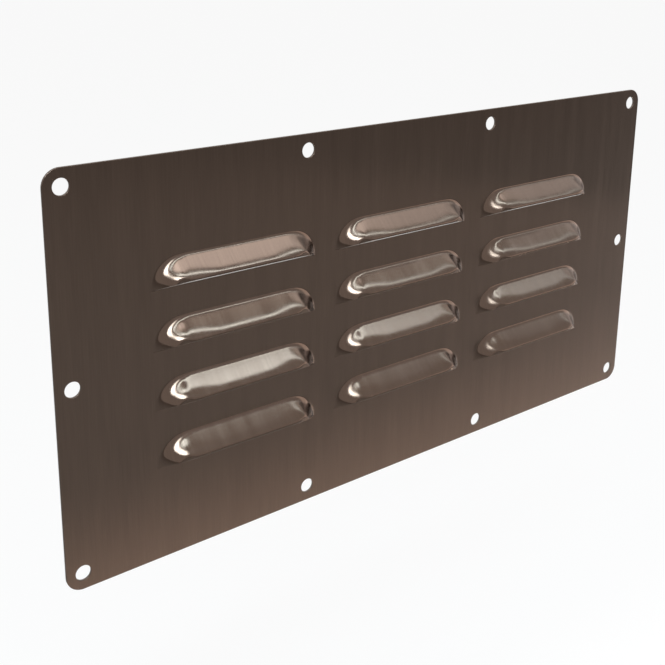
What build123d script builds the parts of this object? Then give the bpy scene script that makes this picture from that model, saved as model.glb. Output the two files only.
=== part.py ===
"""Louvred ventilation panel: one pressed sheet of metal with twelve hooded louvres.

The panel stands upright, with +Z up and +X to the right as seen from the front.
Its back lies in the plane y = 0 and the hoods stand out towards -Y, so the origin
is the middle of the face that goes against the wall. Sizes are in millimetres.
"""

import os
from math import radians, tan

from build123d import *

# Flat sheet
panel_width = 304.8
panel_height = 152.4
sheet_thickness = 1.0
corner_radius = 6.35

# Screw holes round the edge
screw_hole_diameter = 5.8
hole_inset = 6.35
top_edge_gaps = 3
side_edge_gaps = 2

# One louvre. The crest is the part of the hood that stands furthest from the sheet,
# and its outline is measured where it would meet the sloping faces in a sharp edge.
crest_length = 56.6
crest_height = 4.25
crest_corner_radius = 3.4
hood_depth = 7.1
hood_slope = 46.0
crest_bend_radius = 3.2
foot_bend_radius = 1.4
lip_rise = 22.0

# Pattern of louvres
columns = 3
rows = 4
column_gap = 10.2
row_gap = 11.5
flat_rim = 3.0

# A hood spreads from its crest to its foot, where it meets the front of the sheet
spread = hood_depth / tan(radians(hood_slope))
slot_length = crest_length + 2 * spread
hood_height = crest_height + spread
foot_radius = crest_corner_radius + spread
wall_inset = sheet_thickness * tan(radians(hood_slope / 2))
foot_bevel = (foot_bend_radius + sheet_thickness) * tan(radians(hood_slope / 2))
draft = 90.0 - hood_slope

# The pattern is centred on the sheet
column_pitch = slot_length + column_gap
row_pitch = hood_height + row_gap
lowest_slot = -((rows - 1) * row_pitch + hood_height) / 2
pattern_centre = lowest_slot + (rows - 1) * row_pitch / 2
patch_length = slot_length + 2 * flat_rim
patch_height = hood_height + flat_rim

# The holes are spaced evenly between the corners
hole_field_width = panel_width - 2 * hole_inset
hole_field_height = panel_height - 2 * hole_inset
top_hole_pitch = hole_field_width / top_edge_gaps
side_hole_pitch = hole_field_height / side_edge_gaps

# The space inside a hood. It is the hood's own form, moved back by one thickness of
# the sheet, and it is made as a full bump about the slot line, as the punch is.
with BuildPart() as hood_space:
    with BuildSketch():
        RectangleRounded(
            slot_length - 2 * wall_inset,
            2 * (hood_height - wall_inset),
            foot_radius - wall_inset,
        )
    extrude(amount=hood_depth, taper=draft)
    crest = hood_space.faces().sort_by(Axis.Z)[-1]
    fillet(crest.edges(), crest_bend_radius - sheet_thickness)

# One hood with a rim of flat sheet, lying on its back with its slot line on the X axis
with BuildPart() as hood:
    with BuildSketch():
        Rectangle(patch_length, 2 * patch_height)
    extrude(amount=sheet_thickness)
    with BuildSketch(Plane.XY.offset(sheet_thickness)):
        RectangleRounded(slot_length, 2 * hood_height, foot_radius)
    extrude(amount=hood_depth, taper=draft)
    crest = hood.faces().sort_by(Axis.Z)[-1]
    fillet(crest.edges(), crest_bend_radius)
    front = hood.faces().filter_by(Plane.XY).sort_by(Axis.Z)[1]
    fillet(front.inner_wires().edges(), foot_bend_radius)
    add(hood_space.part, mode=Mode.SUBTRACT)
    # Behind, a bevel between the bend's two edges stands for its round
    back = hood.faces().sort_by(Axis.Z)[0]
    chamfer(back.inner_wires().edges(), foot_bevel)
    # The shear opens the sheet along the slot line. Below it the sheet stays flat, and
    # the lip of the hood lies in a plane that rises as it comes forward.
    with BuildSketch(Plane.YZ):
        reach = hood_depth + sheet_thickness
        with BuildLine():
            Polyline(
                (0, -sheet_thickness),
                (0, sheet_thickness),
                (reach * tan(radians(lip_rise)), sheet_thickness + reach),
                (-2 * patch_height, sheet_thickness + reach),
                (-2 * patch_height, -sheet_thickness),
                close=True,
            )
        make_face()
    extrude(amount=patch_length, both=True, mode=Mode.SUBTRACT)

# The whole panel
with BuildPart(Plane.XZ) as louvre_panel:
    with BuildSketch(Plane.XZ):
        RectangleRounded(panel_width, panel_height, corner_radius)
        with Locations((0, pattern_centre + patch_height / 2)):
            with GridLocations(column_pitch, row_pitch, columns, rows):
                Rectangle(patch_length, patch_height, mode=Mode.SUBTRACT)
    extrude(amount=sheet_thickness)
    with Locations((0, pattern_centre)):
        with GridLocations(column_pitch, row_pitch, columns, rows):
            add(hood.part)
    with BuildSketch(Plane.XZ):
        with GridLocations(top_hole_pitch, hole_field_height, top_edge_gaps + 1, 2):
            Circle(screw_hole_diameter / 2)
        with GridLocations(hole_field_width, side_hole_pitch, 2, side_edge_gaps + 1):
            Circle(screw_hole_diameter / 2)
    extrude(amount=sheet_thickness, mode=Mode.SUBTRACT)

louvre_panel.part.label = "louvre_panel"
os.makedirs("parts", exist_ok=True)
export_step(louvre_panel.part, "parts/louvre_panel.step")
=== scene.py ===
"""Looks for a louvred ventilation panel pressed from one brushed metal sheet.

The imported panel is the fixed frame. One new mesh stands for it: the same sheet with smooth
bends and softened cut edges, in a brushed metal. All sizes are in metres and all pieces are
in the row's frame: +Z up, hoods towards -Y, back of the sheet in the plane y = 0.
"""

import math

import bpy
import numpy as np
from mathutils import Matrix, Vector
from mathutils.geometry import delaunay_2d_cdt


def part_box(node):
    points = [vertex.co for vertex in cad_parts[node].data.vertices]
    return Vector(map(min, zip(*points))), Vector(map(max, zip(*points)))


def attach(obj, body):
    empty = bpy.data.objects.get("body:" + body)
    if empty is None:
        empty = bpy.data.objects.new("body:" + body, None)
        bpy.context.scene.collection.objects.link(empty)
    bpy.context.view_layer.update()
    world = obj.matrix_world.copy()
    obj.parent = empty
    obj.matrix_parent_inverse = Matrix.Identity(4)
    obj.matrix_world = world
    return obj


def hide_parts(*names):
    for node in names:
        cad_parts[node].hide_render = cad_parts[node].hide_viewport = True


bl_info = {
    "name": "Louvred Ventilation Panel",
    "version": (1, 0, 0),
    "blender": (4, 5, 0),
    "location": "View3D > Sidebar > Vent",
    "description": "Builds the brushed louvred panel, its finish and its studio",
    "category": "Object",
}

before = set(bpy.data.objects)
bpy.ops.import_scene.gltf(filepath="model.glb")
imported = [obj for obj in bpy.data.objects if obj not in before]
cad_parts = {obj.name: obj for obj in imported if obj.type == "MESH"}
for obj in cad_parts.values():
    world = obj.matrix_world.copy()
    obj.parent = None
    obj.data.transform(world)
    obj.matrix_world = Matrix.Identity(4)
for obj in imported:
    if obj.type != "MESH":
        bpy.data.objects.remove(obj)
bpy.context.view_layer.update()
SHEET_LOW, SHEET_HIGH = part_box("louvre_panel")
MM = 0.001
TINY = 1e-9


# Sizes and colours that a user would change


class VENT_PG_sheet(bpy.types.PropertyGroup):
    width: bpy.props.FloatProperty(
        name="Width",
        description="Long side of the sheet",
        default=SHEET_HIGH.x - SHEET_LOW.x,
        unit="LENGTH",
        subtype="DISTANCE",
    )
    height: bpy.props.FloatProperty(
        name="Height",
        description="Short side of the sheet",
        default=SHEET_HIGH.z - SHEET_LOW.z,
        unit="LENGTH",
        subtype="DISTANCE",
    )
    thickness: bpy.props.FloatProperty(
        name="Thickness",
        description="Thickness of the sheet",
        default=1.0 * MM,
        unit="LENGTH",
        subtype="DISTANCE",
    )
    corner_radius: bpy.props.FloatProperty(
        name="Corner radius",
        description="Radius of the sheet's four corners",
        default=6.35 * MM,
        unit="LENGTH",
        subtype="DISTANCE",
    )
    hole_diameter: bpy.props.FloatProperty(
        name="Screw hole",
        description="Diameter of the ten screw holes",
        default=5.8 * MM,
        unit="LENGTH",
        subtype="DISTANCE",
    )
    hole_inset: bpy.props.FloatProperty(
        name="Hole inset",
        description="From the sheet's edge to the middle of a screw hole",
        default=6.35 * MM,
        unit="LENGTH",
        subtype="DISTANCE",
    )
    edge_round: bpy.props.FloatProperty(
        name="Edge round",
        description="Radius left by deburring on every cut edge",
        default=0.16 * MM,
        unit="LENGTH",
        subtype="DISTANCE",
    )
    slot_round: bpy.props.FloatProperty(
        name="Slot round",
        description="Radius that the shear draws over the sheet's edge below a slot",
        default=0.2 * MM,
        unit="LENGTH",
        subtype="DISTANCE",
    )


class VENT_PG_hood(bpy.types.PropertyGroup):
    crest_length: bpy.props.FloatProperty(
        name="Crest length",
        description="Length of the hood's crest, to its sharp corners",
        default=56.6 * MM,
        unit="LENGTH",
        subtype="DISTANCE",
    )
    crest_height: bpy.props.FloatProperty(
        name="Crest height",
        description="From the slot line up to the crest's sharp edge",
        default=4.25 * MM,
        unit="LENGTH",
        subtype="DISTANCE",
    )
    crest_corner: bpy.props.FloatProperty(
        name="Crest corner",
        description="Radius of the crest's corners seen from the front",
        default=3.4 * MM,
        unit="LENGTH",
        subtype="DISTANCE",
    )
    depth: bpy.props.FloatProperty(
        name="Depth",
        description="How far the hood stands in front of the sheet",
        default=(SHEET_HIGH.y - SHEET_LOW.y) - 1.0 * MM,
        unit="LENGTH",
        subtype="DISTANCE",
    )
    slope: bpy.props.FloatProperty(
        name="Slope",
        description="Angle between the hood's faces and the sheet",
        default=math.radians(46.0),
        subtype="ANGLE",
    )
    slope_ends: bpy.props.FloatProperty(
        name="Slope at ends",
        description="The same angle near the hood's ends",
        default=math.radians(48.7),
        subtype="ANGLE",
    )
    roll: bpy.props.FloatProperty(
        name="Roll",
        description="Length over which the hood's face would level out at mid-length",
        default=6.6 * MM,
        unit="LENGTH",
        subtype="DISTANCE",
    )
    crest_fall: bpy.props.FloatProperty(
        name="Crest fall",
        description="How far the crest drops back where the hood turns its ends",
        default=1.3 * MM,
        unit="LENGTH",
        subtype="DISTANCE",
    )
    crest_arch: bpy.props.FloatProperty(
        name="Crest arch",
        description="How much less far the crest would stand out at the hood's ends",
        default=0.4 * MM,
        unit="LENGTH",
        subtype="DISTANCE",
    )
    lip_bend: bpy.props.FloatProperty(
        name="Lip bend",
        description="Softness of the bend between the hood's face and its lip",
        default=0.35 * MM,
        unit="LENGTH",
        subtype="DISTANCE",
    )
    foot_bend: bpy.props.FloatProperty(
        name="Foot bend",
        description="Length of the bend from sheet to hood at mid-length",
        default=1.5 * MM,
        unit="LENGTH",
        subtype="DISTANCE",
    )
    foot_bend_ends: bpy.props.FloatProperty(
        name="Foot bend at ends",
        description="Length of the same bend round the hood's ends",
        default=4.4 * MM,
        unit="LENGTH",
        subtype="DISTANCE",
    )
    lip_rise: bpy.props.FloatProperty(
        name="Lip rise",
        description="Angle at which the lip's plane rises as it comes forward",
        default=math.radians(24.5),
        subtype="ANGLE",
    )
    column_pitch: bpy.props.FloatProperty(
        name="Column pitch",
        description="From one column of louvres to the next",
        default=80.5124 * MM,
        unit="LENGTH",
        subtype="DISTANCE",
    )
    row_pitch: bpy.props.FloatProperty(
        name="Row pitch",
        description="From one row of louvres to the next",
        default=22.6062 * MM,
        unit="LENGTH",
        subtype="DISTANCE",
    )


class VENT_PG_finish(bpy.types.PropertyGroup):
    metal: bpy.props.FloatVectorProperty(
        name="Metal",
        description="Colour of the brushed face",
        default=(0.108, 0.0745, 0.0575),
        size=3,
        min=0.0,
        max=1.0,
        subtype="COLOR",
    )
    cut_metal: bpy.props.FloatVectorProperty(
        name="Cut metal",
        description="Colour of the sheared edges",
        default=(0.15, 0.12, 0.10),
        size=3,
        min=0.0,
        max=1.0,
        subtype="COLOR",
    )
    grain: bpy.props.FloatProperty(
        name="Grain",
        description="Width of one scratch of the upright brushing",
        default=0.4 * MM,
        unit="LENGTH",
        subtype="DISTANCE",
    )


class VENT_PG_studio(bpy.types.PropertyGroup):
    floor_drop: bpy.props.FloatProperty(
        name="Floor drop",
        description="From the middle of the panel down to the floor",
        default=0.30,
        unit="LENGTH",
        subtype="DISTANCE",
    )
    floor_tone: bpy.props.FloatVectorProperty(
        name="Floor",
        description="Colour of the floor",
        default=(0.82, 0.82, 0.82),
        size=3,
        min=0.0,
        max=1.0,
        subtype="COLOR",
    )


# The panel's mesh


# Columns and rows of louvres, and screw holes along the top and along the bottom
COLUMNS = 3
ROWS = 4
HOLES_ALONG = 4
# How many points each curve and side is given
SHEET_CORNER_POINTS = 19
HOLE_POINTS = 56
HOOD_CORNER_POINTS = 46
HOOD_TOP_POINTS = 27
HOOD_SIDE_POINTS = 4
# The angles of a quarter circle round a cut edge
QUARTER = np.radians([0.0, 30.0, 60.0, 90.0])
# Flat metal that is carried with each hood, and beside each cut edge
RIM = 2.4 * MM
SUPPORT = 0.5 * MM
# A flat step just outside a hood's foot
FOOT_MARGIN = 0.15 * MM
# Towards a slot's tips the rounding of its edges fades out over this length
FADE = 1.5 * MM
# Steps across a hood from foot to lip: where a stretch starts and ends, and its steps
STRETCHES = (
    (0.0, 0.18, 8),
    (0.18, 0.50, 8),
    (0.50, 0.80, 7),
    (0.80, 0.94, 8),
    (0.94, 1.0, 2),
)


def arc(centre, radius, start, stop, count):
    """Points on a circle: centre plus radius times cosine and sine of even angles."""
    turn = np.radians(np.linspace(start, stop, count))
    out = np.stack([np.cos(turn), np.sin(turn)], 1)
    return np.asarray(centre) + radius * out, out


def rounded_outline(half_width, half_height, radius, count):
    """A rounded rectangle as points and outward directions: four quarter circles about
    the corner centres, joined by straight sides, anticlockwise from the right."""
    x, z = half_width - radius, half_height - radius
    parts = [
        arc(c, radius, start, start + 90, count)
        for c, start in (((x, z), 0), ((-x, z), 90), ((-x, -z), 180), ((x, -z), 270))
    ]
    return np.concatenate([p for p, _ in parts]), np.concatenate([n for _, n in parts])


def smooth(t):
    """Rises from 0 to 1 with level ends: three t squared less two t cubed."""
    t = np.clip(t, 0, 1)
    return t * t * (3 - 2 * t)


# Where a hood's form changes on the way from mid-length to its ends: each pair is the
# place where a change starts and its length, as shares of half the hood's length
SHOULDERS = (0.28, 0.34)
TURNS = (0.60, 0.26)
STEEPER = (0.63, 0.12)
# The roll starts at a share of the spread, which is less at the shoulders, and is longer
# there by another share
ROLL_START = 0.61
ROLL_START_LESS = 0.25
ROLL_LONGER = 0.35
# The foot bend starts outside the outline by a share of its length at mid-length, and by
# a share less than that at the ends
FOOT_OUTSIDE = 1 / 3
FOOT_OUTSIDE_LESS = 0.4


def progress(along, change):
    """How far a change has gone at a share of half the hood's length, from 0 to 1."""
    start, length = change
    return smooth((along - start) / length)


def hood_spread(hood):
    """How much further out a hood's foot lies than its crest: its depth over the tangent
    of its slope."""
    return hood.depth / math.tan(hood.slope)


def hood_depth_at(x, z, hood):
    """Depth of a hood in front of the sheet at plan points x, z, with z up from the slot
    line. The slope follows the distance s inside the foot outline: it grows over the foot
    bend as 2t - t squared, holds, and falls away over the roll as 1 - t squared. The depth
    is its integral, t squared - t cubed / 3 over the foot and t - t cubed / 3 over the
    roll. Towards the ends the slope gets steeper, the foot bend longer and the crest
    lower, by its arch and its fall, and the roll takes the length that reaches the crest.
    The crest caps the depth, and a smooth minimum of the two makes the bend above the
    lip."""
    spread = hood_spread(hood)
    radius = hood.crest_corner + spread
    half = hood.crest_length / 2 + spread
    qx = np.abs(x) - (half - radius)
    qz = z - (hood.crest_height + spread - radius)
    outside = np.hypot(np.maximum(qx, 0), np.maximum(qz, 0))
    s = radius - outside - np.minimum(np.maximum(qx, qz), 0)

    along = np.abs(x) / half
    shoulder = progress(along, SHOULDERS)
    turning = progress(along, TURNS)
    steep = progress(along, STEEPER)
    slope = np.tan(hood.slope + (hood.slope_ends - hood.slope) * steep)
    crest = hood.depth - hood.crest_arch * along**2 - hood.crest_fall * turning
    foot = hood.foot_bend + (hood.foot_bend_ends - hood.foot_bend) * turning
    foot_start = -hood.foot_bend * FOOT_OUTSIDE * (1 - FOOT_OUTSIDE_LESS * turning)
    roll_from = spread * (ROLL_START - ROLL_START_LESS * shoulder)
    roll_from = np.maximum(roll_from, foot_start + foot)
    flat = roll_from - foot_start - foot
    roll = hood.roll * (1 + ROLL_LONGER * shoulder)
    # Foot and roll each rise two thirds of their length times the slope
    reaching = 1.5 * (crest / slope - flat) - foot
    roll = roll + (reaching - roll) * turning

    at = np.clip((s - foot_start) / foot, 0, 1)
    over = np.clip((s - roll_from) / roll, 0, 1)
    straight = np.clip(s - foot_start - foot, 0, flat)
    depth = slope * (
        foot * (at**2 - at**3 / 3) + straight + roll * (over - over**3 / 3)
    )
    near = np.maximum(1 - np.abs(depth - crest) / hood.lip_bend, 0)
    return np.minimum(depth, crest) - near**2 * hood.lip_bend / 4


def hood_normal_at(x, z, hood):
    """Unit normal of the hood's front: the slopes of its depth along x and z, found by
    central differences, make the vector (-slope x, -1, -slope z) in x, y, z."""
    step = 0.01 * MM
    right, left = (hood_depth_at(x + way, z, hood) for way in (step, -step))
    above, below = (hood_depth_at(x, z + way, hood) for way in (step, -step))
    dx = (right - left) / (2 * step)
    dz = (above - below) / (2 * step)
    n = np.stack([-dx, -np.ones_like(dx), -dz], -1)
    return n / np.linalg.norm(n, axis=-1, keepdims=True)


def hood_outline(hood):
    """The foot outline above the slot line, from its left end over the top to its right
    end, as points and outward directions: side, quarter circle, top, quarter circle, side."""
    spread = hood_spread(hood)
    radius = hood.crest_corner + spread
    half_length = hood.crest_length / 2 + spread
    x, z = half_length - radius, hood.crest_height + spread - radius
    side = np.linspace(0, z, HOOD_SIDE_POINTS)[:-1]
    left = np.stack([np.full_like(side, -half_length), side], 1)
    corner, corner_out = arc((-x, z), radius, 180, 90, HOOD_CORNER_POINTS)
    top = np.linspace(-x, x, HOOD_TOP_POINTS)[1:-1]
    half = np.concatenate([left, corner])
    half_out = np.concatenate([np.tile([-1.0, 0.0], (len(left), 1)), corner_out])
    flip = np.array([-1.0, 1.0])
    points = np.concatenate(
        [half, np.stack([top, np.full_like(top, z + radius)], 1), half[::-1] * flip]
    )
    out = np.concatenate(
        [half_out, np.tile([0.0, 1.0], (len(top), 1)), half_out[::-1] * flip]
    )
    return points, out


def hood_lip(points, out, hood):
    """How far inside the foot outline the lip lies on each inward ray: where the ray's
    height equals the depth times the tangent of the lip's rise, found by bisection."""
    rise = math.tan(hood.lip_rise)
    halvings = 46
    rounding_error = 1e-12
    low = np.full(len(points), -hood.foot_bend * FOOT_OUTSIDE)
    high = np.full(len(points), hood.crest_height + hood.depth)
    for _ in range(halvings):
        middle = (low + high) / 2
        at = points - middle[:, None] * out
        lip_height = rise * hood_depth_at(at[:, 0], at[:, 1], hood)
        above = at[:, 1] > lip_height + rounding_error
        low, high = np.where(above, middle, low), np.where(above, high, middle)
    return low


def hood_shell(hood, sheet):
    """A closed section carried along the foot outline. The section runs over the front
    from the flat rim to the lip, round the lip's edge with a quarter circle at each side,
    and back behind the hood at one thickness along the normal. Returns points and normals
    on a grid of outline steps by section steps, and the edge steps."""
    points, out = hood_outline(hood)
    lip = hood_lip(points, out, hood)
    start = -hood.foot_bend * FOOT_OUTSIDE
    stretches = [np.linspace(a, b, n, endpoint=False) for a, b, n in STRETCHES]
    share = np.concatenate([*stretches, [1.0]])
    soften = np.clip((lip - start) / FADE, 0, 1) * sheet.edge_round
    inner = start + (lip - soften - start)[:, None] * share
    flat = np.array([-RIM, -RIM / 2, start - FOOT_MARGIN])
    s = np.concatenate([np.tile(flat, (len(points), 1)), inner], 1)

    plan = points[:, None] - s[..., None] * out[:, None]
    depth = hood_depth_at(plan[..., 0], plan[..., 1], hood)
    normal = hood_normal_at(plan[..., 0], plan[..., 1], hood)
    front = np.stack([plan[..., 0], -sheet.thickness - depth, plan[..., 1]], -1)
    back = front - sheet.thickness * normal

    n = normal[:, -1]
    inward = np.stack([-out[:, 0], np.zeros(len(out)), -out[:, 1]], 1)
    along = inward - np.sum(inward * n, 1, keepdims=True) * n
    along /= np.linalg.norm(along, axis=1, keepdims=True)
    turn = QUARTER[1:]
    sine, cosine = np.sin(turn)[None, :, None], np.cos(turn)[None, :, None]
    e = soften[:, None, None]
    swing = sine * along[:, None] + cosine * n[:, None]
    near = front[:, -1:] - e * n[:, None] + e * swing
    far_swing = sine[:, ::-1] * along[:, None] - cosine[:, ::-1] * n[:, None]
    far = back[:, -1:] + e * n[:, None] + e * far_swing

    # Behind, the flat steps are kept and every third of the others is enough
    steps = front.shape[1]
    behind = np.r_[steps - 1 : 2 : -3, 2, 1, 0]
    section = np.concatenate([front, near, far, back[:, behind]], 1)
    normals = np.concatenate([normal, swing, far_swing, -normal[:, behind]], 1)
    edge = (steps - 1, steps + 2 * len(turn))
    return section, normals, edge


def edge_strip(path, out, support, soften, thickness):
    """The cut edge of the sheet, carried along a path: flat for a little way in front, a
    quarter circle, the cut face, a quarter circle, and flat again behind. The path is the
    cut line, and out points from the metal into the open. Returns points and normals on a
    grid of path steps by section steps, and the steps in the cut edge's finish, which are
    the cut face and the rounding behind it."""
    sine, cosine = np.sin(QUARTER), np.cos(QUARTER)
    soften = np.broadcast_to(np.asarray(soften, float), (len(path),))[:, None]
    column = np.ones((len(path), 1))
    reach = np.concatenate([-support * column, -soften * (1 - sine)], 1)
    level = np.concatenate(
        [-thickness * column, -thickness + soften * (1 - cosine)], 1
    )
    reach = np.concatenate([reach, reach[:, ::-1]], 1)
    level = np.concatenate([level, -thickness - level[:, ::-1]], 1)
    across = path[:, :1] + reach * out[:, :1]
    upright = path[:, 1:] + reach * out[:, 1:]
    section = np.stack([across, level, upright], -1)
    lean = np.concatenate([[0.0], sine, sine[::-1], [0.0]])
    face = np.concatenate([[-1.0], -cosine, cosine[::-1], [1.0]])
    face = np.broadcast_to(face, reach.shape)
    normals = np.stack([out[:, :1] * lean, face, out[:, 1:] * lean], -1)
    return section, normals, (len(QUARTER), 2 * len(QUARTER))


class Sheet:
    """Collects points, normals and triangles as whole arrays, and welds them at the end."""

    def __init__(self):
        self.points = []
        self.normals = []
        self.triangles = []
        self.finish = []
        self.count = 0

    def add(self, points, normals, triangles, finish):
        """Takes in one patch. Its triangles all run round the same way, so the patch is
        turned as a whole to face along its normals."""
        points = points.reshape(-1, 3)
        normals = normals.reshape(-1, 3)
        a, b, c = triangles.T
        facing = np.cross(points[b] - points[a], points[c] - points[a])
        if np.sum(facing * (normals[a] + normals[b] + normals[c])) < 0:
            triangles = triangles[:, ::-1]
        self.points.append(points)
        self.normals.append(normals)
        self.triangles.append(triangles + self.count)
        self.finish.append(np.broadcast_to(finish, (len(triangles),)))
        self.count += len(points)

    def add_grid(self, points, normals, cut, closed=False):
        """Joins a grid of points into triangles, two to a cell. Cells whose step along
        the section lies in cut take the cut edge's finish."""
        rows, cols = points.shape[:2]
        index = np.arange(rows * cols).reshape(rows, cols)
        if closed:
            index = np.concatenate([index, index[:1]])
        a, b, c, d = index[:-1, :-1], index[1:, :-1], index[1:, 1:], index[:-1, 1:]
        step = np.broadcast_to(np.arange(cols - 1), a.shape)
        finish = ((step >= cut[0]) & (step < cut[1])).astype(int)
        lower = np.stack([a, b, c], -1).reshape(-1, 3)
        upper = np.stack([a, c, d], -1).reshape(-1, 3)
        triangles = np.concatenate([lower, upper])
        self.add(points, normals, triangles, np.tile(finish.ravel(), 2))

    def mesh(self, name):
        """Welds points that share a place, drops triangles with no area left, and writes
        the mesh with its normals and UVs."""
        points = np.concatenate(self.points)
        normals = np.concatenate(self.normals)
        triangles = np.concatenate(self.triangles)
        finish = np.concatenate(self.finish)
        weld = 1e-4 * MM
        _, first, place = np.unique(
            np.round(points / weld).astype(np.int64),
            axis=0,
            return_index=True,
            return_inverse=True,
        )
        place = place.ravel()
        summed = np.zeros((len(first), 3))
        np.add.at(summed, place, normals)
        points = points[first]
        triangles = place[triangles]
        a, b, c = triangles.T
        real = (a != b) & (b != c) & (c != a)
        triangles, finish = triangles[real], finish[real]
        length = np.linalg.norm(summed, axis=1, keepdims=True)
        summed /= np.maximum(length, TINY)

        mesh = bpy.data.meshes.new(name)
        mesh.from_pydata(points.tolist(), [], triangles.tolist())
        mesh.polygons.foreach_set("material_index", finish.astype(np.int32))
        mesh.polygons.foreach_set("use_smooth", np.ones(len(triangles), bool))
        uv = mesh.uv_layers.new(name="sheet")
        per_metre, middle = 2.5, 0.5
        corner = points[triangles.ravel()][:, [0, 2]] * per_metre + middle
        uv.data.foreach_set("uv", corner.astype(np.float32).ravel())
        mesh.update()
        mesh.normals_split_custom_set_from_vertices(summed.tolist())
        return mesh


def fill_flat(outer, holes):
    """Triangles of the flat sheet between its outline and the loops cut out of it. Every
    loop is a constraint, and triangles whose middle lies inside a cut-out are left out."""
    loops = [outer, *holes]
    points = np.concatenate(loops)
    sizes = [len(loop) for loop in loops]
    starts = np.cumsum([0, *sizes[:-1]])
    edges = np.concatenate(
        [
            np.stack([np.arange(n), (np.arange(n) + 1) % n], 1) + start
            for n, start in zip(sizes, starts)
        ]
    )
    made, _, faces, *_ = delaunay_2d_cdt(
        [Vector(p) for p in points.tolist()], edges.tolist(), [], 0, TINY
    )
    made = np.array(made)
    faces = np.array(faces)
    middle = made[faces].mean(1)
    keep = inside(middle, outer)
    for hole in holes:
        keep &= ~inside(middle, hole)
    return made, faces[keep]


def inside(points, loop):
    """Whether points lie inside a closed loop: an upright ray from the point crosses the
    loop's sides an odd number of times."""
    a, b = loop, np.roll(loop, -1, 0)
    px, pz = points[:, :1], points[:, 1:]
    spans = (a[:, 0] > px) != (b[:, 0] > px)
    run = np.where(b[:, 0] == a[:, 0], 1.0, b[:, 0] - a[:, 0])
    height = a[:, 1] + (px - a[:, 0]) / run * (b[:, 1] - a[:, 1])
    return np.sum(spans & (height > pz), axis=1) % 2 == 1


def screw_hole_centres(sheet):
    """Ten centres: four along the top edge, four along the bottom and one at each side."""
    x = sheet.width / 2 - sheet.hole_inset
    z = sheet.height / 2 - sheet.hole_inset
    along = np.linspace(-x, x, HOLES_ALONG)
    top = np.stack([along, np.full(HOLES_ALONG, z)], 1)
    return np.concatenate([top, top * [1, -1], [[-x, 0.0], [x, 0.0]]])


def slot_lines(hood):
    """Middle of each louvre's slot line: three columns and four rows about the centre."""
    height = hood.crest_height + hood_spread(hood)
    lowest = -((ROWS - 1) * hood.row_pitch + height) / 2
    x = (np.arange(COLUMNS) - (COLUMNS - 1) / 2) * hood.column_pitch
    z = lowest + np.arange(ROWS) * hood.row_pitch
    return np.stack(np.meshgrid(x, z), -1).reshape(-1, 2)


def slot_path(tip):
    """Points along a slot line from its left tip to its right one. Near a tip they lie at
    1 less t to the power 1.5 of the tip's distance, which is closest at the tip itself."""
    near_tip, points_near_tip, power = 0.1, 9, 1.5
    inner, points_between = 0.968, 25
    leaving = np.linspace(0, near_tip, points_near_tip)[:-1] ** power
    arriving = np.linspace(near_tip, 0, points_near_tip)[1:] ** power
    between = np.linspace(tip * inner, -tip * inner, points_between)
    return np.concatenate([tip * (1 - leaving), between, -tip * (1 - arriving)])


def panel_mesh(sheet, hood):
    """The whole sheet: outer edge, screw holes, hoods and slot edges, and the two flat
    faces between them."""
    made = Sheet()
    support = SUPPORT + sheet.edge_round

    outline, out = rounded_outline(
        sheet.width / 2, sheet.height / 2, sheet.corner_radius, SHEET_CORNER_POINTS
    )
    section, normals, cut = edge_strip(
        outline, out, support, sheet.edge_round, sheet.thickness
    )
    made.add_grid(section, normals, cut, closed=True)
    outer = section[:, 0][:, [0, 2]]

    loops = []
    circle, away = arc((0, 0), sheet.hole_diameter / 2, 0, 360, HOLE_POINTS + 1)
    circle, away = circle[:-1], away[:-1]
    for centre in screw_hole_centres(sheet):
        section, normals, cut = edge_strip(
            circle + centre, -away, support, sheet.edge_round, sheet.thickness
        )
        made.add_grid(section, normals, cut, closed=True)
        loops.append(section[:, 0][:, [0, 2]])

    shell, shell_normals, lip_cut = hood_shell(hood, sheet)
    rim = shell[:, 0][:, [0, 2]]
    tip = shell[0, lip_cut[0]][0]
    end = shell[0, : lip_cut[0] + 1][:, [0, 2]]
    end = end[np.concatenate([[True], np.abs(np.diff(end[:, 0])) > TINY])]
    along = slot_path(tip)
    soften = np.clip((abs(tip) - np.abs(along)) / FADE, 0, 1) * sheet.slot_round
    slot = np.stack([along, np.zeros_like(along)], 1)
    up = np.tile([0.0, 1.0], (len(slot), 1))
    strip, strip_normals, strip_cut = edge_strip(
        slot, up, support, soften, sheet.thickness
    )
    below = strip[:, 0][:, [0, 2]]
    loop = np.concatenate([end, below, end[::-1] * [-1, 1], rim[::-1][1:-1]])
    for x, z in slot_lines(hood):
        move = np.array([x, 0.0, z])
        made.add_grid(shell + move, shell_normals, lip_cut)
        made.add_grid(strip + move, strip_normals, strip_cut)
        loops.append(loop + [x, z])

    flat, faces = fill_flat(outer, loops)
    for level, facing in ((-sheet.thickness, -1.0), (0.0, 1.0)):
        points = np.stack([flat[:, 0], np.full(len(flat), level), flat[:, 1]], 1)
        normals = np.tile([0.0, facing, 0.0], (len(flat), 1))
        made.add(points, normals, faces, 0)
    return made.mesh("louvred_sheet")


# Materials


# The brushing: how long a streak is, how far it shades the metal and changes its
# roughness, and how deep a scratch is
STREAK_LENGTH = 22 * MM
SHADE_RANGE = 0.24
GLOSS_SWING = 0.03
SCRATCH_DEPTH = 0.02 * MM
# The part of 0 to 1 that the noise mostly fills
NOISE_LOW = 0.3
NOISE_HIGH = 0.7


def new_material(name):
    """An empty material, with its nodes and links."""
    material = bpy.data.materials.new(name)
    material.use_nodes = True
    material.node_tree.nodes.clear()
    return material, material.node_tree.nodes, material.node_tree.links


def calculate(tree, operation, *terms):
    """Adds a Math node to a tree and returns its output. Each term is another output or
    a plain number."""
    node = tree.nodes.new("ShaderNodeMath")
    node.operation = operation
    for socket, term in zip(node.inputs, terms):
        if isinstance(term, bpy.types.NodeSocket):
            tree.links.new(term, socket)
        else:
            socket.default_value = term
    return node.outputs[0]


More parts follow.
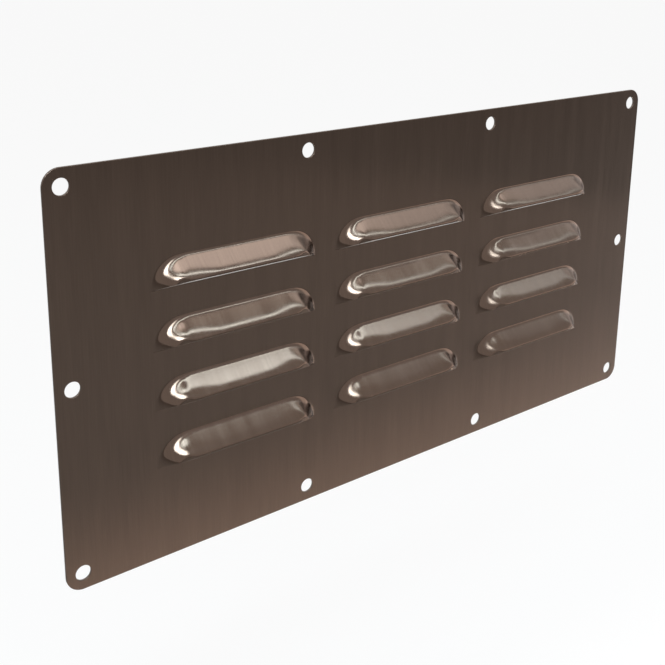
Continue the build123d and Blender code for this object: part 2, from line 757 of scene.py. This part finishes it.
def brushing_group():
    """Upright brushing as a shared group. It reads the piece's own coordinates, squeezes
    them to long thin streaks, and puts out a height, a shade and a gloss value."""
    group = bpy.data.node_groups.new("upright_brushing", "ShaderNodeTree")
    for way, names in (
        ("INPUT", ("Streak Width", "Streak Length", "Shade Range")),
        ("OUTPUT", ("Height", "Shade", "Gloss")),
    ):
        for name in names:
            group.interface.new_socket(
                name, in_out=way, socket_type="NodeSocketFloat"
            )
    nodes, links = group.nodes, group.links
    given = nodes.new("NodeGroupInput").outputs
    result = nodes.new("NodeGroupOutput")
    place = nodes.new("ShaderNodeTexCoord")
    split = nodes.new("ShaderNodeSeparateXYZ")
    links.new(place.outputs["Object"], split.inputs[0])

    def streaks(width_factor, length_factor, detail):
        width = calculate(group, "MULTIPLY", given["Streak Width"], width_factor)
        length = calculate(group, "MULTIPLY", given["Streak Length"], length_factor)
        joined = nodes.new("ShaderNodeCombineXYZ")
        across = calculate(group, "DIVIDE", split.outputs["X"], width)
        upright = calculate(group, "DIVIDE", split.outputs["Z"], length)
        links.new(across, joined.inputs["X"])
        links.new(upright, joined.inputs["Z"])
        noise = nodes.new("ShaderNodeTexNoise")
        noise.inputs["Scale"].default_value = 1.0
        noise.inputs["Detail"].default_value = detail
        noise.inputs["Roughness"].default_value = 0.6
        links.new(joined.outputs[0], noise.inputs["Vector"])
        return noise.outputs["Fac"]

    fine = streaks(width_factor=1.0, length_factor=1.0, detail=2.0)
    broad = streaks(width_factor=14.0, length_factor=4.0, detail=3.0)
    # Each noise averages a half
    fine_weight = 1.4
    mean = (fine_weight + 1.0) / 2
    both = calculate(group, "MULTIPLY_ADD", fine, fine_weight, broad)
    swing = calculate(group, "SUBTRACT", both, mean)
    shade = calculate(group, "MULTIPLY_ADD", swing, given["Shade Range"], 1.0)
    links.new(fine, result.inputs["Height"])
    links.new(shade, result.inputs["Shade"])
    links.new(broad, result.inputs["Gloss"])
    return group


def brushed_metal(name, colour, brushing, grain, roughness, bump, anisotropic):
    """Bare brushed metal: streaks tint it a little, change its gloss and raise a fine
    bump, and highlights stretch across the brushing."""
    material, nodes, links = new_material(name)
    output = nodes.new("ShaderNodeOutputMaterial")
    metal = nodes.new("ShaderNodeBsdfPrincipled")
    metal.inputs["Metallic"].default_value = 1.0
    metal.inputs["Anisotropic"].default_value = anisotropic
    links.new(metal.outputs[0], output.inputs["Surface"])
    streak = nodes.new("ShaderNodeGroup")
    streak.node_tree = brushing
    streak.inputs["Streak Width"].default_value = grain
    streak.inputs["Streak Length"].default_value = STREAK_LENGTH
    streak.inputs["Shade Range"].default_value = SHADE_RANGE
    tint = nodes.new("ShaderNodeVectorMath")
    tint.operation = "SCALE"
    tint.inputs[0].default_value = colour
    links.new(streak.outputs["Shade"], tint.inputs["Scale"])
    links.new(tint.outputs["Vector"], metal.inputs["Base Color"])
    gloss = nodes.new("ShaderNodeMapRange")
    gloss.inputs["From Min"].default_value = NOISE_LOW
    gloss.inputs["From Max"].default_value = NOISE_HIGH
    gloss.inputs["To Min"].default_value = roughness - GLOSS_SWING
    gloss.inputs["To Max"].default_value = roughness + GLOSS_SWING
    links.new(streak.outputs["Gloss"], gloss.inputs["Value"])
    links.new(gloss.outputs["Result"], metal.inputs["Roughness"])
    relief = nodes.new("ShaderNodeBump")
    relief.inputs["Strength"].default_value = bump
    relief.inputs["Distance"].default_value = SCRATCH_DEPTH
    links.new(streak.outputs["Height"], relief.inputs["Height"])
    links.new(relief.outputs["Normal"], metal.inputs["Normal"])
    tangent = nodes.new("ShaderNodeTangent")
    tangent.direction_type = "UV_MAP"
    tangent.uv_map = "sheet"
    links.new(tangent.outputs["Tangent"], metal.inputs["Tangent"])
    return material


def pale_floor(colour):
    """A pale matt floor. The camera sees it lifted nine tenths of the way to white, with a
    trace of its shadow left. Gloss sees it as it is lit."""
    material, nodes, links = new_material("pale_floor")
    output = nodes.new("ShaderNodeOutputMaterial")
    matt = nodes.new("ShaderNodeBsdfDiffuse")
    matt.inputs["Color"].default_value = (*colour, 1.0)
    white = nodes.new("ShaderNodeEmission")
    white.inputs["Strength"].default_value = 1.0
    path = nodes.new("ShaderNodeLightPath")
    whiteness = 0.9
    seen = calculate(
        material.node_tree, "MULTIPLY", path.outputs["Is Camera Ray"], whiteness
    )
    mix = nodes.new("ShaderNodeMixShader")
    links.new(seen, mix.inputs["Fac"])
    links.new(matt.outputs[0], mix.inputs[1])
    links.new(white.outputs[0], mix.inputs[2])
    links.new(mix.outputs[0], output.inputs["Surface"])
    return material


# Studio


def softbox(name, place, aim, along, size, radiance, colour):
    """A flat rectangular lamp facing aim, with its first side along a direction. Its power
    is its radiance times pi times its area."""
    data = bpy.data.lights.new(name, "AREA")
    data.shape = "RECTANGLE"
    data.size, data.size_y = size
    data.energy = radiance * math.pi * size[0] * size[1]
    data.color = colour
    lamp = bpy.data.objects.new(name, data)
    back = (Vector(place) - Vector(aim)).normalized()
    side = Vector(along)
    side = (side - side.dot(back) * back).normalized()
    turn = Matrix((side, back.cross(side), back)).transposed()
    lamp.matrix_world = Matrix.Translation(place) @ turn.to_4x4()
    lamp.visible_camera = False
    bpy.context.scene.collection.objects.link(lamp)
    return data


def overhead_strip(name, low, high, reach, span, radiance, colour):
    """A long lamp along X in front of and above the panel, between two elevations seen
    from the panel's middle, at a set reach from it."""
    middle = math.radians((low + high) / 2)
    width = 2 * reach * math.tan(math.radians((high - low) / 2))
    x = (span[0] + span[1]) / 2
    place = (x, -reach * math.cos(middle), reach * math.sin(middle))
    size = (span[1] - span[0], width)
    softbox(name, place, (x, 0, 0), (1, 0, 0), size, radiance, colour)


def build_floor(scene, studio):
    """A flat square floor, wide enough to run past every view."""
    half = 40.0
    corners = np.array([[-1, -1], [1, -1], [1, 1], [-1, 1]]) * half
    points = np.column_stack([corners, np.full(4, -studio.floor_drop)])
    mesh = bpy.data.meshes.new("floor")
    mesh.from_pydata(points.tolist(), [], [[0, 1, 2, 3]])
    mesh.materials.append(pale_floor(tuple(studio.floor_tone)))
    floor = bpy.data.objects.new("floor", mesh)
    scene.collection.objects.link(floor)


def build_world():
    """An even soft light, which the camera, gloss and glass see as plain white."""
    world = bpy.data.worlds.new("studio")
    world.use_nodes = True
    tree = world.node_tree
    nodes, links = tree.nodes, tree.links
    nodes.clear()
    output = nodes.new("ShaderNodeOutputWorld")
    soft = nodes.new("ShaderNodeBackground")
    soft.inputs["Strength"].default_value = 0.5
    white = nodes.new("ShaderNodeBackground")
    white.inputs["Strength"].default_value = 1.0
    for background in (soft, white):
        background.inputs["Color"].default_value = (1, 1, 1, 1)
    seen = nodes.new("ShaderNodeLightPath").outputs
    direct = calculate(tree, "MAXIMUM", seen["Is Camera Ray"], seen["Is Glossy Ray"])
    direct = calculate(tree, "MAXIMUM", direct, seen["Is Transmission Ray"])
    mix = nodes.new("ShaderNodeMixShader")
    links.new(direct, mix.inputs["Fac"])
    links.new(soft.outputs[0], mix.inputs[1])
    links.new(white.outputs[0], mix.inputs[2])
    links.new(mix.outputs[0], output.inputs["Surface"])
    return world


# Colours of the lamps, as strengths of red, green and blue
WARM = (1.0, 1.1, 1.16)
COOL = (0.8, 1.1, 1.25)
SKY = (0.72, 0.9, 1.0)
CARD = (1.0, 0.9, 0.84)
POOL = (1.0, 0.85, 0.74)
# Two bands of light over the panel, at one distance from it: name, elevations in degrees,
# radiance and colour
BAND_REACH = 1.2
BANDS = (
    ("warm", 68.7, 80.0, 3.2, WARM),
    ("cool", 61.6, 64.2, 8.4, COOL),
)
# Each band runs from left to right in four lengths, weaker as they go: name, ends, share
LENGTHS = (
    ("left", (-0.6, 0.05), 1.7),
    ("near", (0.05, 0.82), 1.0),
    ("middle", (0.82, 1.2), 0.5),
    ("far", (1.2, 2.6), 0.34),
)


def build_lamps():
    """The overhead bands, two lamps for the bright arches at the hoods' left ends, two
    cards at the right, and a lamp that throws a pool of light on the floor."""
    for length, span, share in LENGTHS:
        for band, low, high, radiance, colour in BANDS:
            overhead_strip(
                f"{band}_{length}",
                low,
                high,
                BAND_REACH,
                span,
                radiance * share,
                colour,
            )
    left = softbox(
        "left_arch",
        place=(-0.325, -0.285, 0.362),
        aim=(-0.11, 0, 0),
        along=(0.9, -0.3, 0.3),
        size=(0.25, 0.10),
        radiance=5.0,
        colour=SKY,
    )
    middle = softbox(
        "middle_arch",
        place=(-0.13, -0.31, 0.375),
        aim=(-0.05, 0, 0),
        along=(1, 0, 0.1),
        size=(0.15, 0.075),
        radiance=2.4,
        colour=SKY,
    )
    left.spread = middle.spread = math.radians(80.0)
    softbox(
        "right_card",
        place=(1.25, -0.65, 0.20),
        aim=(0, 0, 0),
        along=(0, 0, 1),
        size=(0.5, 1.3),
        radiance=1.15,
        colour=CARD,
    )
    softbox(
        "right_low_card",
        place=(0.9, -0.19, -0.11),
        aim=(0, -0.19, -0.11),
        along=(0, 0, 1),
        size=(0.34, 0.32),
        radiance=1.0,
        colour=CARD,
    )
    pool = softbox(
        "floor_pool",
        place=(0.3, -0.17, 0.35),
        aim=(0.3, -0.17, 0.0),
        along=(1, 0, 0),
        size=(1.3, 0.06),
        radiance=6.5,
        colour=POOL,
    )
    pool.spread = math.radians(42.0)


# The camera, fitted to the photograph's viewpoint. The focal length is in pixels of a
# picture 665 pixels wide
PICTURE_WIDTH = 665
FOCAL_LENGTH = 1009.5
CAMERA_SHIFT = -0.20
CAMERA_PLACE = (-0.26821, -0.29738, 0.14831)
CAMERA_RIGHT = (0.79055, -0.6123, 0.01115)
CAMERA_UP = (0.14779, 0.20842, 0.96681)


def build_camera(scene):
    """Places the camera by its right and up directions, squared to each other."""
    data = bpy.data.cameras.new("camera")
    data.sensor_fit = "HORIZONTAL"
    data.sensor_width = 36.0
    data.lens = FOCAL_LENGTH / PICTURE_WIDTH * data.sensor_width
    data.shift_y = CAMERA_SHIFT
    data.clip_start = 0.01
    data.clip_end = 30.0
    camera = bpy.data.objects.new("camera", data)
    right = Vector(CAMERA_RIGHT)
    back = right.cross(Vector(CAMERA_UP)).normalized()
    up = back.cross(right).normalized()
    turn = Matrix((right.normalized(), up, back)).transposed()
    camera.matrix_world = Matrix.Translation(CAMERA_PLACE) @ turn.to_4x4()
    scene.collection.objects.link(camera)
    scene.camera = camera


class VENT_OT_panel(bpy.types.Operator):
    """Build the louvred sheet and its brushed finish"""

    bl_idname = "vent.panel"
    bl_label = "Louvred sheet"

    def execute(self, context):
        scene = context.scene
        finish = scene.vent_finish
        brushing = brushing_group()
        mesh = panel_mesh(scene.vent_sheet, scene.vent_hood)
        face = brushed_metal(
            "brushed_sheet",
            tuple(finish.metal),
            brushing,
            grain=finish.grain,
            roughness=0.15,
            bump=0.15,
            anisotropic=0.92,
        )
        edge = brushed_metal(
            "sheared_edge",
            tuple(finish.cut_metal),
            brushing,
            grain=finish.grain * 2,
            roughness=0.5,
            bump=0.4,
            anisotropic=0.2,
        )
        mesh.materials.append(face)
        mesh.materials.append(edge)
        sheet = bpy.data.objects.new("louvred_sheet", mesh)
        scene.collection.objects.link(sheet)
        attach(sheet, "root")
        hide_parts("louvre_panel")
        return {"FINISHED"}


class VENT_OT_studio(bpy.types.Operator):
    """Set the floor, the world, the lamps and the camera"""

    bl_idname = "vent.studio"
    bl_label = "Studio"

    def execute(self, context):
        studio = context.scene.vent_studio
        build_floor(context.scene, studio)
        context.scene.world = build_world()
        build_lamps()
        build_camera(context.scene)
        context.scene.view_settings.view_transform = "Standard"
        return {"FINISHED"}


class VENT_PT_sidebar(bpy.types.Panel):
    bl_label = "Louvred vent"
    bl_idname = "VENT_PT_sidebar"
    bl_space_type = "VIEW_3D"
    bl_region_type = "UI"
    bl_category = "Vent"

    def draw(self, context):
        for group in (
            context.scene.vent_sheet,
            context.scene.vent_hood,
            context.scene.vent_finish,
            context.scene.vent_studio,
        ):
            box = self.layout.box()
            for name in group.__annotations__:
                box.prop(group, name)
        self.layout.operator(VENT_OT_panel.bl_idname)
        self.layout.operator(VENT_OT_studio.bl_idname)


SETTINGS = {
    "vent_sheet": VENT_PG_sheet,
    "vent_hood": VENT_PG_hood,
    "vent_finish": VENT_PG_finish,
    "vent_studio": VENT_PG_studio,
}
CLASSES = (*SETTINGS.values(), VENT_OT_panel, VENT_OT_studio, VENT_PT_sidebar)


def register():
    for cls in CLASSES:
        bpy.utils.register_class(cls)
    for name, group in SETTINGS.items():
        setattr(bpy.types.Scene, name, bpy.props.PointerProperty(type=group))


def unregister():
    for name in SETTINGS:
        delattr(bpy.types.Scene, name)
    for cls in reversed(CLASSES):
        bpy.utils.unregister_class(cls)


def main():
    register()
    bpy.ops.vent.panel()
    bpy.ops.vent.studio()


if __name__ == "__main__":
    main()
